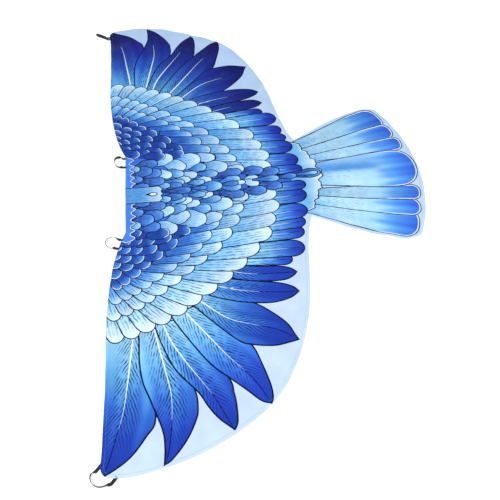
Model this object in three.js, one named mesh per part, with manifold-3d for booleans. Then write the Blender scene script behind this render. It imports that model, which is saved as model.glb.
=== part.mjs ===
// A child's bird-wing cape: one flat sheet of light polyester cut as two wings and a fan tail,
// with a narrow turned hem all round and four loops of elastic tape sewn into the hem.
// The sheet is split into panels along the lines where it folds when it is worn.
// Millimetres, +Z up. The cape lies printed side up; +Y is towards the neck, +X the wearer's right.
import * as THREE from "three";
import { mergeVertices } from "three/addons/utils/BufferGeometryUtils.js";
import Module from "manifold-3d";

const wasm = await Module();
wasm.setup();

// Overall sizes of the cut sheet.
const HALF_SPAN = 620; // centre line to the widest point of a wing
const LENGTH = 700; // wing tip's leading edge to the end of the tail
const WING_DEPTH = 436; // leading edge to the corner where the tail begins
const NECK_HALF = 114; // half the straight neck edge
const NECK_DROP = 42; // how far the neck edge lies behind the wing tips
const SHOULDER_X = 330; // where the shoulder slope has run out into the leading edge
const SHOULDER_DROP = 6;
const TIP_SETBACK = 23; // from the widest point in to the highest point of the wing tip
const TAIL_ROOT_HALF = 118;
const TAIL_HALF = 205; // half the tail's greatest width
const TAIL_CORNER_RISE = 52; // the tail's lower corners above its end

// Cloth and tape.
const CLOTH = 0.8;
const HEM_LAYERS = 3; // the edge is turned twice
const HEM_WIDTH = 7;
const TAPE_WIDTH = 6;
const TAPE_THICK = 0.8;
const TACK_WIDTH = 1.4; // bar of thread across a sewn tape end
const TACK_HEIGHT = 0.5;
const GAP = 0.3; // between neighbours that touch on the real sheet

// Fold lines.
const SHOULDER_FOLD = 175;
const ELBOW_FOLD = 385;
const TAIL_FOLD_BELOW_ROOT = 4;
const FOLD_GAP = 1.2; // between two panels at a fold
const HEM_FOLD_GAP = 4; // the thicker hem needs more

// Tape ends in the hem.
const END_INSIDE = 4.5; // how far a tape end reaches into the hem
const END_REST = 0.3; // its underside above the surface that the hem lies on
const CLOSE_ENDS = TAPE_WIDTH + 2; // between the two ends of a loop that is sewn pinched
const LOOP_GAP = 0.8; // at the line about which a loop swings
const TWIST_LENGTH = 12; // tape lies flat where it is sewn, then twists to stand on its edge
const TAPE_STEPS = 36;

// Where the loops are sewn.
const LEFT_TIP_DROP = 25; // left tip loop's first end, below the leading edge
const RIGHT_TIP_SETBACK = 5; // right tip loop's outer end, in from the wing tip
const LEFT_SHOULDER_ENDS = [41, 19]; // outside the left end of the neck edge
const RIGHT_SHOULDER_ENDS = [35, 7]; // inside the right end of the neck edge

// Where one hem strip ends and the next begins.
const TIP_HEM_DROP = 22; // below the leading edge at a wing tip
const TAIL_HEM_RISE = 8; // above the tail's corners

const HEM_THICK = CLOTH * HEM_LAYERS;
const TIP_X = HALF_SPAN - TIP_SETBACK;
const TOP_Y = LENGTH / 2;
const END_Y = -LENGTH / 2;
const NECK_Y = TOP_Y - NECK_DROP;
const ROOT_Y = TOP_Y - WING_DEPTH;
const TAIL_FOLD = ROOT_Y - TAIL_FOLD_BELOW_ROOT;
const CORNER_Y = END_Y + TAIL_CORNER_RISE;
const TIP_CUT = TOP_Y - TIP_HEM_DROP; // where a wing tip's leading hem ends
const TAIL_CUT = CORNER_Y + TAIL_HEM_RISE; // where a tail's side hem ends
const WING_MIDDLE = TOP_Y / 2; // between a wing's leading and trailing hems
const ROOM = 2000; // larger than the cape, for cutting boxes

const cloth = (color) => new THREE.MeshStandardMaterial({ color, roughness: 0.6, metalness: 0 });
const BLUE = cloth(0x3f86ee);
const SKY = cloth(0x8fcaf5);
const ROYAL = cloth(0x2c45cc);
const PALE = cloth(0xc4def8);
const BLACK = new THREE.MeshStandardMaterial({ color: 0x0d0d10, roughness: 0.85, metalness: 0 });
const THREAD = new THREE.MeshStandardMaterial({ color: 0x1a1d2a, roughness: 0.7, metalness: 0 });

const cape = new THREE.Group();

// The right half of the outline, from the middle of the neck round to the middle of the tail's end.
function halfOutline() {
  const shoulderY = TOP_Y - SHOULDER_DROP;
  const slope = SHOULDER_X - NECK_HALF;
  const tipRun = TIP_X - SHOULDER_X;
  const edge = new THREE.Path();
  edge.moveTo(0, NECK_Y);
  edge.lineTo(NECK_HALF, NECK_Y);
  edge.bezierCurveTo(
    NECK_HALF + 0.21 * slope,
    NECK_Y + 0.6 * (shoulderY - NECK_Y),
    NECK_HALF + 0.54 * slope,
    NECK_Y + 0.92 * (shoulderY - NECK_Y),
    SHOULDER_X,
    shoulderY,
  );
  edge.bezierCurveTo(
    SHOULDER_X + 0.37 * tipRun,
    shoulderY,
    SHOULDER_X + 0.71 * tipRun,
    shoulderY - 2,
    TIP_X,
    TOP_Y,
  );
  edge.quadraticCurveTo(HALF_SPAN - 7, TOP_Y, HALF_SPAN - 2, TOP_Y - 14);
  edge.bezierCurveTo(
    HALF_SPAN + 10,
    TOP_Y - 0.195 * WING_DEPTH,
    0.968 * HALF_SPAN,
    TOP_Y - 0.487 * WING_DEPTH,
    0.839 * HALF_SPAN,
    TOP_Y - 0.683 * WING_DEPTH,
  );
  edge.bezierCurveTo(
    0.769 * HALF_SPAN,
    TOP_Y - 0.79 * WING_DEPTH,
    0.629 * HALF_SPAN,
    TOP_Y - 0.878 * WING_DEPTH,
    0.484 * HALF_SPAN,
    TOP_Y - 0.913 * WING_DEPTH,
  );
  edge.bezierCurveTo(
    0.379 * HALF_SPAN,
    TOP_Y - 0.936 * WING_DEPTH,
    TAIL_ROOT_HALF + 47,
    ROOT_Y + 22,
    TAIL_ROOT_HALF,
    ROOT_Y,
  );
  edge.quadraticCurveTo(TAIL_HALF - 19, (ROOT_Y + CORNER_Y) / 2, TAIL_HALF, CORNER_Y + 28);
  edge.lineTo(TAIL_HALF - 4, CORNER_Y + 6);
  edge.quadraticCurveTo(TAIL_HALF - 5, CORNER_Y - 3, TAIL_HALF - 14, CORNER_Y - 7);
  edge.quadraticCurveTo(TAIL_HALF / 2, END_Y, 0, END_Y);
  return edge.getPoints(10);
}

// The whole outline, clockwise, without a doubled point on the centre line.
function wholeOutline() {
  const right = halfOutline();
  const left = right.slice(1, -1).reverse();
  return [...right, ...left.map((p) => new THREE.Vector2(-p.x, p.y))];
}

// A clockwise outline moved inwards, with mitred corners.
function inset(points, distance) {
  return points.map((point, i) => {
    const before = points[(i + points.length - 1) % points.length];
    const after = points[(i + 1) % points.length];
    const inA = inward(before, point);
    const inB = inward(point, after);
    const share = distance / (1 + inA.dot(inB));
    return new THREE.Vector2(point.x + (inA.x + inB.x) * share, point.y + (inA.y + inB.y) * share);
  });
}

function inward(a, b) {
  const run = b.clone().sub(a).normalize();
  return new THREE.Vector2(run.y, -run.x);
}

// Closed solids for cutting.
function solidOf(geometry) {
  const bare = geometry.clone();
  bare.deleteAttribute("normal");
  bare.deleteAttribute("uv");
  const merged = mergeVertices(bare, 1e-4);
  const vertProperties = new Float32Array(merged.attributes.position.array);
  const triVerts = new Uint32Array(merged.index.array);
  return new wasm.Manifold(new wasm.Mesh({ numProp: 3, vertProperties, triVerts }));
}

function slab(points, low, high) {
  const geometry = new THREE.ExtrudeGeometry(new THREE.Shape(points), {
    depth: high - low,
    bevelEnabled: false,
  });
  return solidOf(geometry.translate(0, 0, low));
}

function block(x0, x1, y0, y1, z0, z1, frame = new THREE.Matrix4()) {
  const geometry = new THREE.BoxGeometry(x1 - x0, y1 - y0, z1 - z0);
  geometry.translate((x0 + x1) / 2, (y0 + y1) / 2, (z0 + z1) / 2);
  return solidOf(geometry.applyMatrix4(frame));
}

function add(name, solid, material) {
  const { vertProperties, triVerts } = solid.getMesh();
  const geometry = new THREE.BufferGeometry();
  geometry.setAttribute("position", new THREE.BufferAttribute(vertProperties, 3));
  geometry.setIndex(new THREE.BufferAttribute(triVerts, 1));
  geometry.computeVertexNormals();
  const mesh = new THREE.Mesh(geometry, material);
  mesh.name = name;
  cape.add(mesh);
}

const OUTLINE = wholeOutline();

// The point of the outline at a given x on the neck side, or at a given y on one wing's outer side.
function onLeadingEdge(x) {
  return crossing("x", x, (p) => p.y);
}

function onOuterEdge(y, side) {
  return crossing("y", y, (p) => p.x * side);
}

function crossing(axis, value, rank) {
  const found = [];
  OUTLINE.forEach((a, i) => {
    const b = OUTLINE[(i + 1) % OUTLINE.length];
    const share = (value - a[axis]) / (b[axis] - a[axis]);
    if (share >= 0 && share <= 1) found.push(a.clone().lerp(b, share));
  });
  return found.reduce((best, p) => (rank(p) > rank(best) ? p : best));
}

// The four loops. Each route is in the loop's own frame: along from the first sewn end to the
// second, out from the hem, and up, all from the point midway between the ends. The stand vectors
// are the direction of the tape's width just after the first end and just before the second.
const FLAT_Z = END_REST + TAPE_THICK / 2;
const LOOPS = [
  {
    name: "left_tip_loop",
    ends: [onOuterEdge(TOP_Y - LEFT_TIP_DROP, -1), onLeadingEdge(-TIP_X)],
    reach: 8,
    route: [
      [-14, 15, 3.6],
      [-11, 20, 3.8],
      [-6, 25, 4],
      [1, 28, 4],
      [9, 27.5, 4],
      [16.5, 23, 3.9],
      [19.5, 17, 3.2],
      [18, 13, 2.6],
    ],
    stand: [
      [0, 0, 1],
      [0, 0, 1],
    ],
  },
  {
    name: "right_tip_loop",
    ends: [
      onLeadingEdge(TIP_X - RIGHT_TIP_SETBACK - CLOSE_ENDS),
      onLeadingEdge(TIP_X - RIGHT_TIP_SETBACK),
    ],
    reach: 3,
    route: [
      [-2.6, 9, 3.2],
      [1, 15, 3.8],
      [7, 24, 5],
      [12, 31, 5.8],
      [16, 35, 6.2],
      [18.5, 35, 6.2],
      [18, 31, 6],
      [13, 23, 5.4],
      [6.5, 14, 4],
      [4.4, 9, 3.2],
    ],
    stand: [
      [0, 0, 1],
      [0, 0, 1],
    ],
  },
  {
    name: "left_shoulder_loop",
    ends: LEFT_SHOULDER_ENDS.map((outside) => onLeadingEdge(-NECK_HALF - outside)),
    reach: 3,
    route: [
      [-12.5, 9, 2.8],
      [-15, 16, 4],
      [-12, 24, 5.4],
      [-4, 29.5, 6.2],
      [4.5, 28, 6.4],
      [11, 22, 6],
      [14, 15, 4.4],
      [12, 9, 2.8],
    ],
    stand: [
      [-0.6, 0, 0.8],
      [-0.6, 0, 0.8],
    ],
  },
  {
    name: "right_shoulder_loop",
    ends: RIGHT_SHOULDER_ENDS.map((inside) => onLeadingEdge(NECK_HALF - inside)),
    reach: 3,
    route: [
      [-15, 9, 3.4],
      [-17, 15, 6],
      [-14, 20.5, 9],
      [-6, 23.5, 11],
      [3, 23, 11],
      [10, 19, 9.2],
      [14.5, 13.5, 6],
      [15, 9, 3.4],
    ],
    stand: [
      [-0.6, 0, 0.8],
      [0.6, 0, 0.8],
    ],
  },
];

// A loop's own frame: X along its two ends, Y out from the hem, Z up.
function loopFrame(loop) {
  const [a, b] = loop.ends;
  const along = new THREE.Vector3(b.x - a.x, b.y - a.y, 0).normalize();
  const out = new THREE.Vector3(-along.y, along.x, 0);
  const frame = new THREE.Matrix4().makeBasis(along, out, new THREE.Vector3(0, 0, 1));
  return frame.setPosition((a.x + b.x) / 2, (a.y + b.y) / 2, 0);
}

// Where a loop's two ends lie along its own X.
function endPlaces(loop) {
  const half = loop.ends[0].distanceTo(loop.ends[1]) / 2;
  return [-half, half];
}

// The tape's middle line and the direction of its width, in its loop's own frame.
function tapeSections(loop) {
  const [first, last] = endPlaces(loop);
  const start = loop.reach + LOOP_GAP;
  const lift = (z) => new THREE.Vector3(0, 0, z);
  const flat = (x, y) => lift(FLAT_Z).add(new THREE.Vector3(x, y, 0));
  const points = [flat(first, start), flat(first, start + 2)];
  points.push(...loop.route.map(([x, y, z]) => new THREE.Vector3(x, y, z)));
  points.push(flat(last, start + 2), flat(last, start));
  const middle = new THREE.CatmullRomCurve3(points, false, "catmullrom", 0.5);
  const length = middle.getLength();
  const toLocal = loopFrame(loop).invert();
  const [standA, standB] = loop.stand.map((v) =>
    new THREE.Vector3(...v).transformDirection(toLocal),
  );
  const sections = [];
  for (let i = 0; i <= TAPE_STEPS; i += 1) {
    const share = i / TAPE_STEPS;
    const tangent = middle.getTangentAt(share);
    const toEnd = Math.min(share, 1 - share) * length;
    const twist = THREE.MathUtils.smoothstep(toEnd, 1, TWIST_LENGTH);
    const side = new THREE.Vector3(share < 0.5 ? 1 : -1, 0, 0);
    const stand = standA.clone().lerp(standB, share);
    const wide = side.lerp(stand, twist);
    wide.addScaledVector(tangent, -wide.dot(tangent)).normalize();
    sections.push({ at: middle.getPointAt(share), wide, thin: tangent.clone().cross(wide) });
  }
  return sections;
}

// A closed tape through its sections.
function tape(sections) {
  const corners = [
    [-1, -1],
    [1, -1],
    [1, 1],
    [-1, 1],
  ];
  const position = [];
  const index = [];
  sections.forEach(({ at, wide, thin }, i) => {
    corners.forEach(([w, t]) => {
      const point = at.clone();
      point.addScaledVector(wide, (w * TAPE_WIDTH) / 2).addScaledVector(thin, (t * TAPE_THICK) / 2);
      position.push(point.x, point.y, point.z);
    });
    if (i === 0) return;
    corners.forEach((_, k) => {
      const next = (k + 1) % 4;
      const [a, b] = [(i - 1) * 4 + k, (i - 1) * 4 + next];
      index.push(a, b, b + 4, a, b + 4, a + 4);
    });
  });
  const last = (sections.length - 1) * 4;
  index.push(0, 2, 1, 0, 3, 2, last, last + 1, last + 2, last, last + 2, last + 3);
  const geometry = new THREE.BufferGeometry();
  geometry.setAttribute("position", new THREE.Float32BufferAttribute(position, 3));
  geometry.setIndex(index);
  return geometry;
}

// The hem is a ring round the whole sheet, with a pocket for each tape end.
let hem = slab(OUTLINE, 0, HEM_THICK).subtract(slab(inset(OUTLINE, HEM_WIDTH), -1, HEM_THICK + 1));
const sheet = slab(inset(OUTLINE, HEM_WIDTH + GAP), 0, CLOTH);

for (const loop of LOOPS) {
  const frame = loopFrame(loop);
  endPlaces(loop).forEach((place, i) => {
    const half = TAPE_WIDTH / 2;
    const near = place - half;
    const far = place + half;
    const top = END_REST + TAPE_THICK;
    const pocket = block(near - GAP, far + GAP, -END_INSIDE - GAP, ROOM, -1, top + GAP, frame);
    hem = hem.subtract(pocket);
    const end = block(near, far, -END_INSIDE, loop.reach, END_REST, top, frame);
    const tackLow = HEM_THICK + GAP;
    const tackAt = -END_INSIDE / 2;
    const tack = block(
      near,
      far,
      tackAt - TACK_WIDTH / 2,
      tackAt + TACK_WIDTH / 2,
      tackLow,
      tackLow + TACK_HEIGHT,
      frame,
    );
    add(`${loop.name}_end_${i + 1}`, end, BLACK);
    add(`${loop.name}_tack_${i + 1}`, tack, THREAD);
  });
  add(loop.name, solidOf(tape(tapeSections(loop)).applyMatrix4(frame)), BLACK);
}

// A region of the plan, kept back from its fold lines by half a gap on each side that has one.
function region(x0, x1, y0, y1) {
  return block(x0, x1, y0, y1, -1, ROOM);
}

function backPart(solid, gap) {
  const side = SHOULDER_FOLD - gap / 2;
  return solid.intersect(region(-side, side, TAIL_FOLD + gap / 2, ROOM));
}

function wingPart(solid, side, from, to, gap) {
  const near = from + gap / 2;
  const far = to - gap / 2;
  return solid.intersect(region(side > 0 ? near : -far, side > 0 ? far : -near, TAIL_FOLD, ROOM));
}

function tailPart(solid, gap) {
  return solid.intersect(region(-ROOM, ROOM, -ROOM, TAIL_FOLD - gap / 2));
}

const above = (solid, y) => solid.intersect(region(-ROOM, ROOM, y + GAP / 2, ROOM));
const below = (solid, y) => solid.intersect(region(-ROOM, ROOM, -ROOM, y - GAP / 2));
const leftHalf = (solid) => solid.intersect(region(-ROOM, 0, -ROOM, ROOM));
const rightHalf = (solid) => solid.intersect(region(0, ROOM, -ROOM, ROOM));
const onSide = (solid, side) => (side > 0 ? rightHalf(solid) : leftHalf(solid));

// Back.
add("back_panel", backPart(sheet, FOLD_GAP), BLUE);
const backHem = backPart(hem, HEM_FOLD_GAP);
add("neck_hem", above(backHem, 0), BLUE);

// Wings and the back's short trailing hems, one side at a time.
for (const [word, side] of [
  ["left", -1],
  ["right", 1],
]) {
  add(`${word}_back_hem`, onSide(below(backHem, 0), side), PALE);
  const innerHem = wingPart(hem, side, SHOULDER_FOLD, ELBOW_FOLD, HEM_FOLD_GAP);
  add(`${word}_inner_wing_panel`, wingPart(sheet, side, SHOULDER_FOLD, ELBOW_FOLD, FOLD_GAP), SKY);
  add(`${word}_inner_leading_hem`, above(innerHem, WING_MIDDLE), SKY);
  add(`${word}_inner_trailing_hem`, below(innerHem, WING_MIDDLE), PALE);
  const outerHem = wingPart(hem, side, ELBOW_FOLD, ROOM, HEM_FOLD_GAP);
  add(`${word}_outer_wing_panel`, wingPart(sheet, side, ELBOW_FOLD, ROOM, FOLD_GAP), ROYAL);
  add(`${word}_outer_leading_hem`, above(outerHem, TIP_CUT), ROYAL);
  add(`${word}_outer_trailing_hem`, below(outerHem, TIP_CUT), PALE);
}

// Tail.
const tailHem = tailPart(hem, HEM_FOLD_GAP);
const tailSides = above(tailHem, TAIL_CUT);
add("tail_panel", tailPart(sheet, FOLD_GAP), SKY);
add("left_tail_hem", onSide(tailSides, -1), PALE);
add("right_tail_hem", onSide(tailSides, 1), PALE);
add("tail_end_hem", below(tailHem, TAIL_CUT), PALE);

export default cape;
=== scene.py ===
# A child's bird-wing cape in printed satin, laid out flat with the printed side up.
# Lengths are millimetres in the pattern, and metres where a finished piece is made.
import math

import bpy
import numpy as np
from mathutils import Matrix, Vector
from mathutils.geometry import delaunay_2d_cdt


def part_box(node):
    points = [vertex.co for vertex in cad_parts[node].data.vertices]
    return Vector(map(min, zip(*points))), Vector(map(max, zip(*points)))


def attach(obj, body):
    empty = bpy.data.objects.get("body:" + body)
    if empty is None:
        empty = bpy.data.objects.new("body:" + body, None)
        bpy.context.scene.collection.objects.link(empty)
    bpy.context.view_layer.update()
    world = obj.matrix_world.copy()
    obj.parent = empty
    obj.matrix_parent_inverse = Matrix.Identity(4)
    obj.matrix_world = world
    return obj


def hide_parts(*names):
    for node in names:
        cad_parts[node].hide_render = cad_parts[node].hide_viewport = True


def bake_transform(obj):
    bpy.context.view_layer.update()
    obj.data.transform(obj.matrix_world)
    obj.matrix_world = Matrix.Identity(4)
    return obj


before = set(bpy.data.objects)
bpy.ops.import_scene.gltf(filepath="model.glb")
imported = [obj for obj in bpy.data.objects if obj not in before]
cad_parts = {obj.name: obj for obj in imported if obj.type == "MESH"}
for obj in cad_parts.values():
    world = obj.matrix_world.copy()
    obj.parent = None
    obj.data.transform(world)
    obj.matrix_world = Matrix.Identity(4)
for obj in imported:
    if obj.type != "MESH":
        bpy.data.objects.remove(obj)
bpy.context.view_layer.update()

MM = 0.001


# ---------------------------------------------------------------- camera

CAMERA_PLACE = (-0.9559, 0.1502, 1.0032)
CAMERA_LOOKS = (0.6047, -0.0741, -0.793)
CAMERA_UP = (0.7868, -0.0989, 0.6092)
CAMERA_LENS = 44.64


def place_camera():
    data = bpy.data.cameras.new("camera")
    data.lens = CAMERA_LENS
    data.sensor_width = 36
    camera = bpy.data.objects.new("camera", data)
    bpy.context.scene.collection.objects.link(camera)
    back = -Vector(CAMERA_LOOKS).normalized()
    right = Vector(CAMERA_UP).cross(back).normalized()
    up = back.cross(right)
    turn = Matrix((right, up, back)).transposed().to_4x4()
    camera.matrix_world = Matrix.Translation(CAMERA_PLACE) @ turn
    bpy.context.scene.camera = camera


place_camera()


# ---------------------------------------------------------------- materials

def linear(code):
    """A hex sRGB colour as linear red, green, blue."""
    parts = [int(code[i:i + 2], 16) / 255 for i in (1, 3, 5)]
    return [c / 12.92 if c <= 0.04045 else ((c + 0.055) / 1.055) ** 2.4 for c in parts]


def rgba(code):
    return (*linear(code), 1)


def new_material(name):
    material = bpy.data.materials.new(name)
    material.use_nodes = True
    tree = material.node_tree
    tree.nodes.clear()
    return material, tree


def add(tree, kind, settings=None, **inputs):
    """Adds a node. Settings are its own properties; inputs are values, or outputs to link from."""
    node = tree.nodes.new("ShaderNode" + kind)
    for key, value in (settings or {}).items():
        setattr(node, key, value)
    for key, value in inputs.items():
        numbered = key.startswith("in") and key[2:].isdigit()
        socket = node.inputs[int(key[2:])] if numbered else node.inputs[key.replace("_", " ")]
        if isinstance(value, bpy.types.NodeSocket):
            tree.links.new(value, socket)
        else:
            socket.default_value = value
    return node


def maths(tree, operation, a, b=0.0, c=0.0):
    settings = {"operation": operation}
    return add(tree, "Math", settings, in0=a, in1=b, in2=c).outputs[0]


def step_between(tree, value, low, high):
    """0 below low, 1 above high, smooth between them."""
    settings = {"interpolation_type": "SMOOTHSTEP"}
    node = add(tree, "MapRange", settings, Value=value, From_Min=low, From_Max=high)
    return node.outputs["Result"]


def mix_colour(tree, share, a, b):
    node = add(tree, "Mix", {"data_type": "RGBA"})
    for index, value in ((0, share), (6, a), (7, b)):
        if isinstance(value, bpy.types.NodeSocket):
            tree.links.new(value, node.inputs[index])
        else:
            node.inputs[index].default_value = value
    return node.outputs[2]


def attribute(tree, name):
    return add(tree, "Attribute", {"attribute_name": name})


def finish_material(material, tree, colour, height, strength, distance, roughness, **more):
    """A shader of this colour and bump. Anything more is set on the shader's own sockets."""
    bump = add(tree, "Bump", Strength=strength, Distance=distance, Height=height)
    normal = bump.outputs["Normal"]
    shader = add(tree, "BsdfPrincipled", Base_Color=colour, Normal=normal, Roughness=roughness, **more)
    output = add(tree, "OutputMaterial")
    tree.links.new(shader.outputs[0], output.inputs["Surface"])
    return material


WEAVE_PITCH = 1.0  # the real threads lie about 0.2 mm apart, too fine to show


def printed_satin():
    """Polyester satin, woven and then printed with dye: smooth, with a soft sheen and no gloss.
    The feather's shape comes from the cloth's own attributes, the ink lines and barbs from nodes."""
    material, tree = new_material("printed_polyester_satin")
    along, across, edge = three_of(tree, "plume")
    line_width, rim_width, shaft_start = three_of(tree, "ink")
    from_shaft = maths(tree, "ABSOLUTE", across)
    ground = add(tree, "TexCoord").outputs["UV"]
    wobble = add(tree, "TexNoise", Vector=ground, Scale=80.0, Detail=2.0).outputs["Fac"]
    colour = with_barbs(tree, ground, wobble, along, from_shaft)
    colour = with_shaft(tree, colour, along, from_shaft, shaft_start)
    colour = with_lines(tree, colour, wobble, edge, line_width, rim_width)

    # Uneven dye, and the paler reverse where the print only shows through.
    blotch = add(tree, "TexNoise", Vector=ground, Scale=28.0, Detail=3.0).outputs["Fac"]
    uneven = maths(tree, "MULTIPLY_ADD", blotch, 0.3, 0.9)
    colour = add(tree, "HueSaturation", Value=uneven, Color=colour).outputs["Color"]
    reverse = attribute(tree, "reverse").outputs["Fac"]
    faded = maths(tree, "MULTIPLY", reverse, 0.5)
    colour = mix_colour(tree, faded, colour, rgba("#DCEAF8"))
    weave = weave_height(tree, ground, WEAVE_PITCH)
    sheen = {"Sheen_Weight": 0.02, "Sheen_Roughness": 0.35, "Specular_IOR_Level": 0.07}
    return finish_material(material, tree, colour, weave, 0.05, 0.0002, 0.46, IOR=1.5, **sheen)


def three_of(tree, name):
    """The three numbers that an attribute of the cloth carries."""
    return add(tree, "SeparateXYZ", Vector=attribute(tree, name).outputs["Vector"]).outputs


def with_barbs(tree, ground, wobble, along, from_shaft):
    """Hair lines swept back from the shaft, dark and pale by turns, broken up as a brush leaves
    them."""
    barb_along, barb_across, barb_strength = three_of(tree, "barb")
    ragged = add(tree, "TexNoise", Vector=ground, Scale=45.0, Detail=2.0).outputs["Fac"]
    sweep = maths(tree, "MULTIPLY", along, barb_along)
    spread = maths(tree, "MULTIPLY", from_shaft, barb_across)
    phase = maths(tree, "ADD", sweep, spread)
    phase = maths(tree, "ADD", phase, maths(tree, "MULTIPLY", ragged, 1.5))
    wave = maths(tree, "SINE", maths(tree, "MULTIPLY", phase, 2 * math.pi))
    broken = maths(tree, "MULTIPLY", step_between(tree, wobble, 0.3, 0.6), barb_strength)
    dark_hair = maths(tree, "MULTIPLY", step_between(tree, wave, 0.0, 0.75), broken)
    pale_hair = maths(tree, "MULTIPLY", step_between(tree, wave, -0.4, -1.0), broken)
    # The dye carries the print, painted lighter on the left wing as painted light and sheen and darker on
    # the right wing as painted shade.
    dye = attribute(tree, "dye").outputs["Color"]
    barb_dye = attribute(tree, "barb_dye").outputs["Color"]
    colour = mix_colour(tree, dark_hair, dye, barb_dye)
    pale_hair = maths(tree, "MULTIPLY", pale_hair, 0.2)
    return mix_colour(tree, pale_hair, colour, rgba("#5EA0F2"))


def with_shaft(tree, colour, along, from_shaft, shaft_start):
    """A white quill that narrows towards the tip, and a dark streak from there on."""
    past = maths(tree, "SUBTRACT", along, shaft_start)
    quill_width = maths(tree, "MULTIPLY", step_between(tree, past, 0.0, 150.0), 1.25)
    quill_width = maths(tree, "ADD", quill_width, 0.25)
    over = maths(tree, "SUBTRACT", quill_width, from_shaft)
    begun = step_between(tree, past, 0.0, 8.0)
    quill = maths(tree, "MULTIPLY", step_between(tree, over, -0.3, 0.3), begun)
    colour = mix_colour(tree, quill, colour, rgba("#E4F2FD"))
    streak = step_between(tree, from_shaft, 1.3, 0.5)
    streak = maths(tree, "MULTIPLY", streak, step_between(tree, past, 20.0, -10.0))
    has_quill = step_between(tree, shaft_start, 900.0, 800.0)
    streak = maths(tree, "MULTIPLY", streak, has_quill)
    streak = maths(tree, "MULTIPLY", streak, step_between(tree, along, 4.0, 20.0))
    return mix_colour(tree, streak, colour, rgba("#0B1656"))


def with_lines(tree, colour, wobble, edge, line_width, rim_width):
    """The white rim inside the ink line, then the line itself, pressed harder in places."""
    inner = maths(tree, "ADD", line_width, rim_width)
    inside_rim = maths(tree, "SUBTRACT", inner, edge)
    has_rim = step_between(tree, rim_width, 0.1, 0.5)
    rim = maths(tree, "MULTIPLY", step_between(tree, inside_rim, -0.35, 0.35), has_rim)
    colour = mix_colour(tree, rim, colour, rgba("#DCEEFF"))
    pressed = maths(tree, "MULTIPLY", maths(tree, "SUBTRACT", wobble, 0.5), 1.6)
    inside_line = maths(tree, "SUBTRACT", maths(tree, "ADD", line_width, pressed), edge)
    line = step_between(tree, inside_line, -0.3, 0.3)
    line = maths(tree, "MULTIPLY", line, step_between(tree, line_width, 0.05, 0.4))
    return mix_colour(tree, line, colour, rgba("#06123A"))


def weave_height(tree, ground, pitch):
    """Threads crossing at right angles. The cloth's UV map is in metres."""
    turns = 2 * math.pi / (pitch * MM)
    flat = add(tree, "SeparateXYZ", Vector=ground)
    warp = maths(tree, "SINE", maths(tree, "MULTIPLY", flat.outputs[0], turns))
    weft = maths(tree, "SINE", maths(tree, "MULTIPLY", flat.outputs[1], turns))
    return maths(tree, "MULTIPLY", warp, weft)


def woven_elastic():
    """Black woven elastic tape: matt, with fine ribs along it and a beaded edge."""
    material, tree = new_material("black_woven_elastic")
    ground = add(tree, "TexCoord").outputs["UV"]
    place = add(tree, "SeparateXYZ", Vector=ground)
    along, across = place.outputs[0], place.outputs[1]
    # Ribs lie about 0.7 mm apart, and the picks that cross them 1 mm apart.
    rib = maths(tree, "SINE", maths(tree, "MULTIPLY", across, 2 * math.pi / 0.7))
    pick = maths(tree, "SINE", maths(tree, "MULTIPLY", along, 2 * math.pi / 1.0))
    height = maths(tree, "MULTIPLY_ADD", pick, 0.5, rib)
    # The hollows between the ribs and picks are painted darker and their crests lighter: painted shade and
    # painted highlight. The fuzz noise varies that tone at random.
    shade = step_between(tree, height, -1.5, 1.5)
    fuzz = add(tree, "TexNoise", Vector=ground, Scale=1.3, Detail=3.0).outputs["Fac"]
    shade = maths(tree, "MULTIPLY", shade, maths(tree, "ADD", fuzz, 0.5))
    colour = mix_colour(tree, shade, rgba("#060608"), rgba("#26262B"))
    return finish_material(material, tree, colour, height, 0.5, 0.0002, 0.82, Sheen_Weight=0.15)


def sewing_thread(name, dark, light):
    """Spun polyester thread: two plies twisted together, slightly shiny on their crests. The crests are
    painted lighter as a painted sheen, and the grooves between the plies darker as painted shade.
    """
    material, tree = new_material(name)
    ground = add(tree, "TexCoord").outputs["Object"]
    # The plies turn once in about 0.8 mm.
    bands = {"bands_direction": "DIAGONAL"}
    wave = add(tree, "TexWave", bands, Vector=ground, Scale=400.0, Distortion=2.0)
    twist = wave.outputs["Fac"]
    # Painted sheen on the crests of the plies and painted shade between them.
    colour = mix_colour(tree, twist, rgba(dark), rgba(light))
    return finish_material(material, tree, colour, twist, 0.4, 0.0001, 0.55)


SATIN = printed_satin()
ELASTIC = woven_elastic()
HEM_THREAD = sewing_thread("pale_blue_polyester_thread", "#7AA2DC", "#B4D0F2")
TACK_THREAD = sewing_thread("black_polyester_thread", "#08080C", "#2A2B34")


# ---------------------------------------------------------------- the cut sheet

HALF_SPAN = round(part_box("right_outer_trailing_hem")[1].x / MM)
TOP = round(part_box("right_outer_leading_hem")[1].y / MM)
END = round(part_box("tail_end_hem")[0].y / MM)
WING_DEPTH = 436
NECK_HALF = 114
NECK_DROP = 42
SHOULDER_X = 330
SHOULDER_DROP = 6
TIP_SETBACK = 23
TAIL_ROOT_HALF = 118
TAIL_HALF = 205
TAIL_CORNER_RISE = 52
EDGE_STEP = 7.0

NECK_Y = TOP - NECK_DROP
ROOT_Y = TOP - WING_DEPTH
CORNER_Y = END + TAIL_CORNER_RISE
TIP_X = HALF_SPAN - TIP_SETBACK


def curve(*corners, step=EDGE_STEP):
    """Points along a Bezier curve on these corners, without its first point."""
    corners = [np.array(c, float) for c in corners]
    length = sum(np.linalg.norm(b - a) for a, b in zip(corners, corners[1:]))
    steps = max(3, math.ceil(length / step))
    share = np.arange(1, steps + 1)[:, None] / steps
    level = [c + 0 * share for c in corners]
    while len(level) > 1:
        level = [a + (b - a) * share for a, b in zip(level, level[1:])]
    return level[0]


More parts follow.
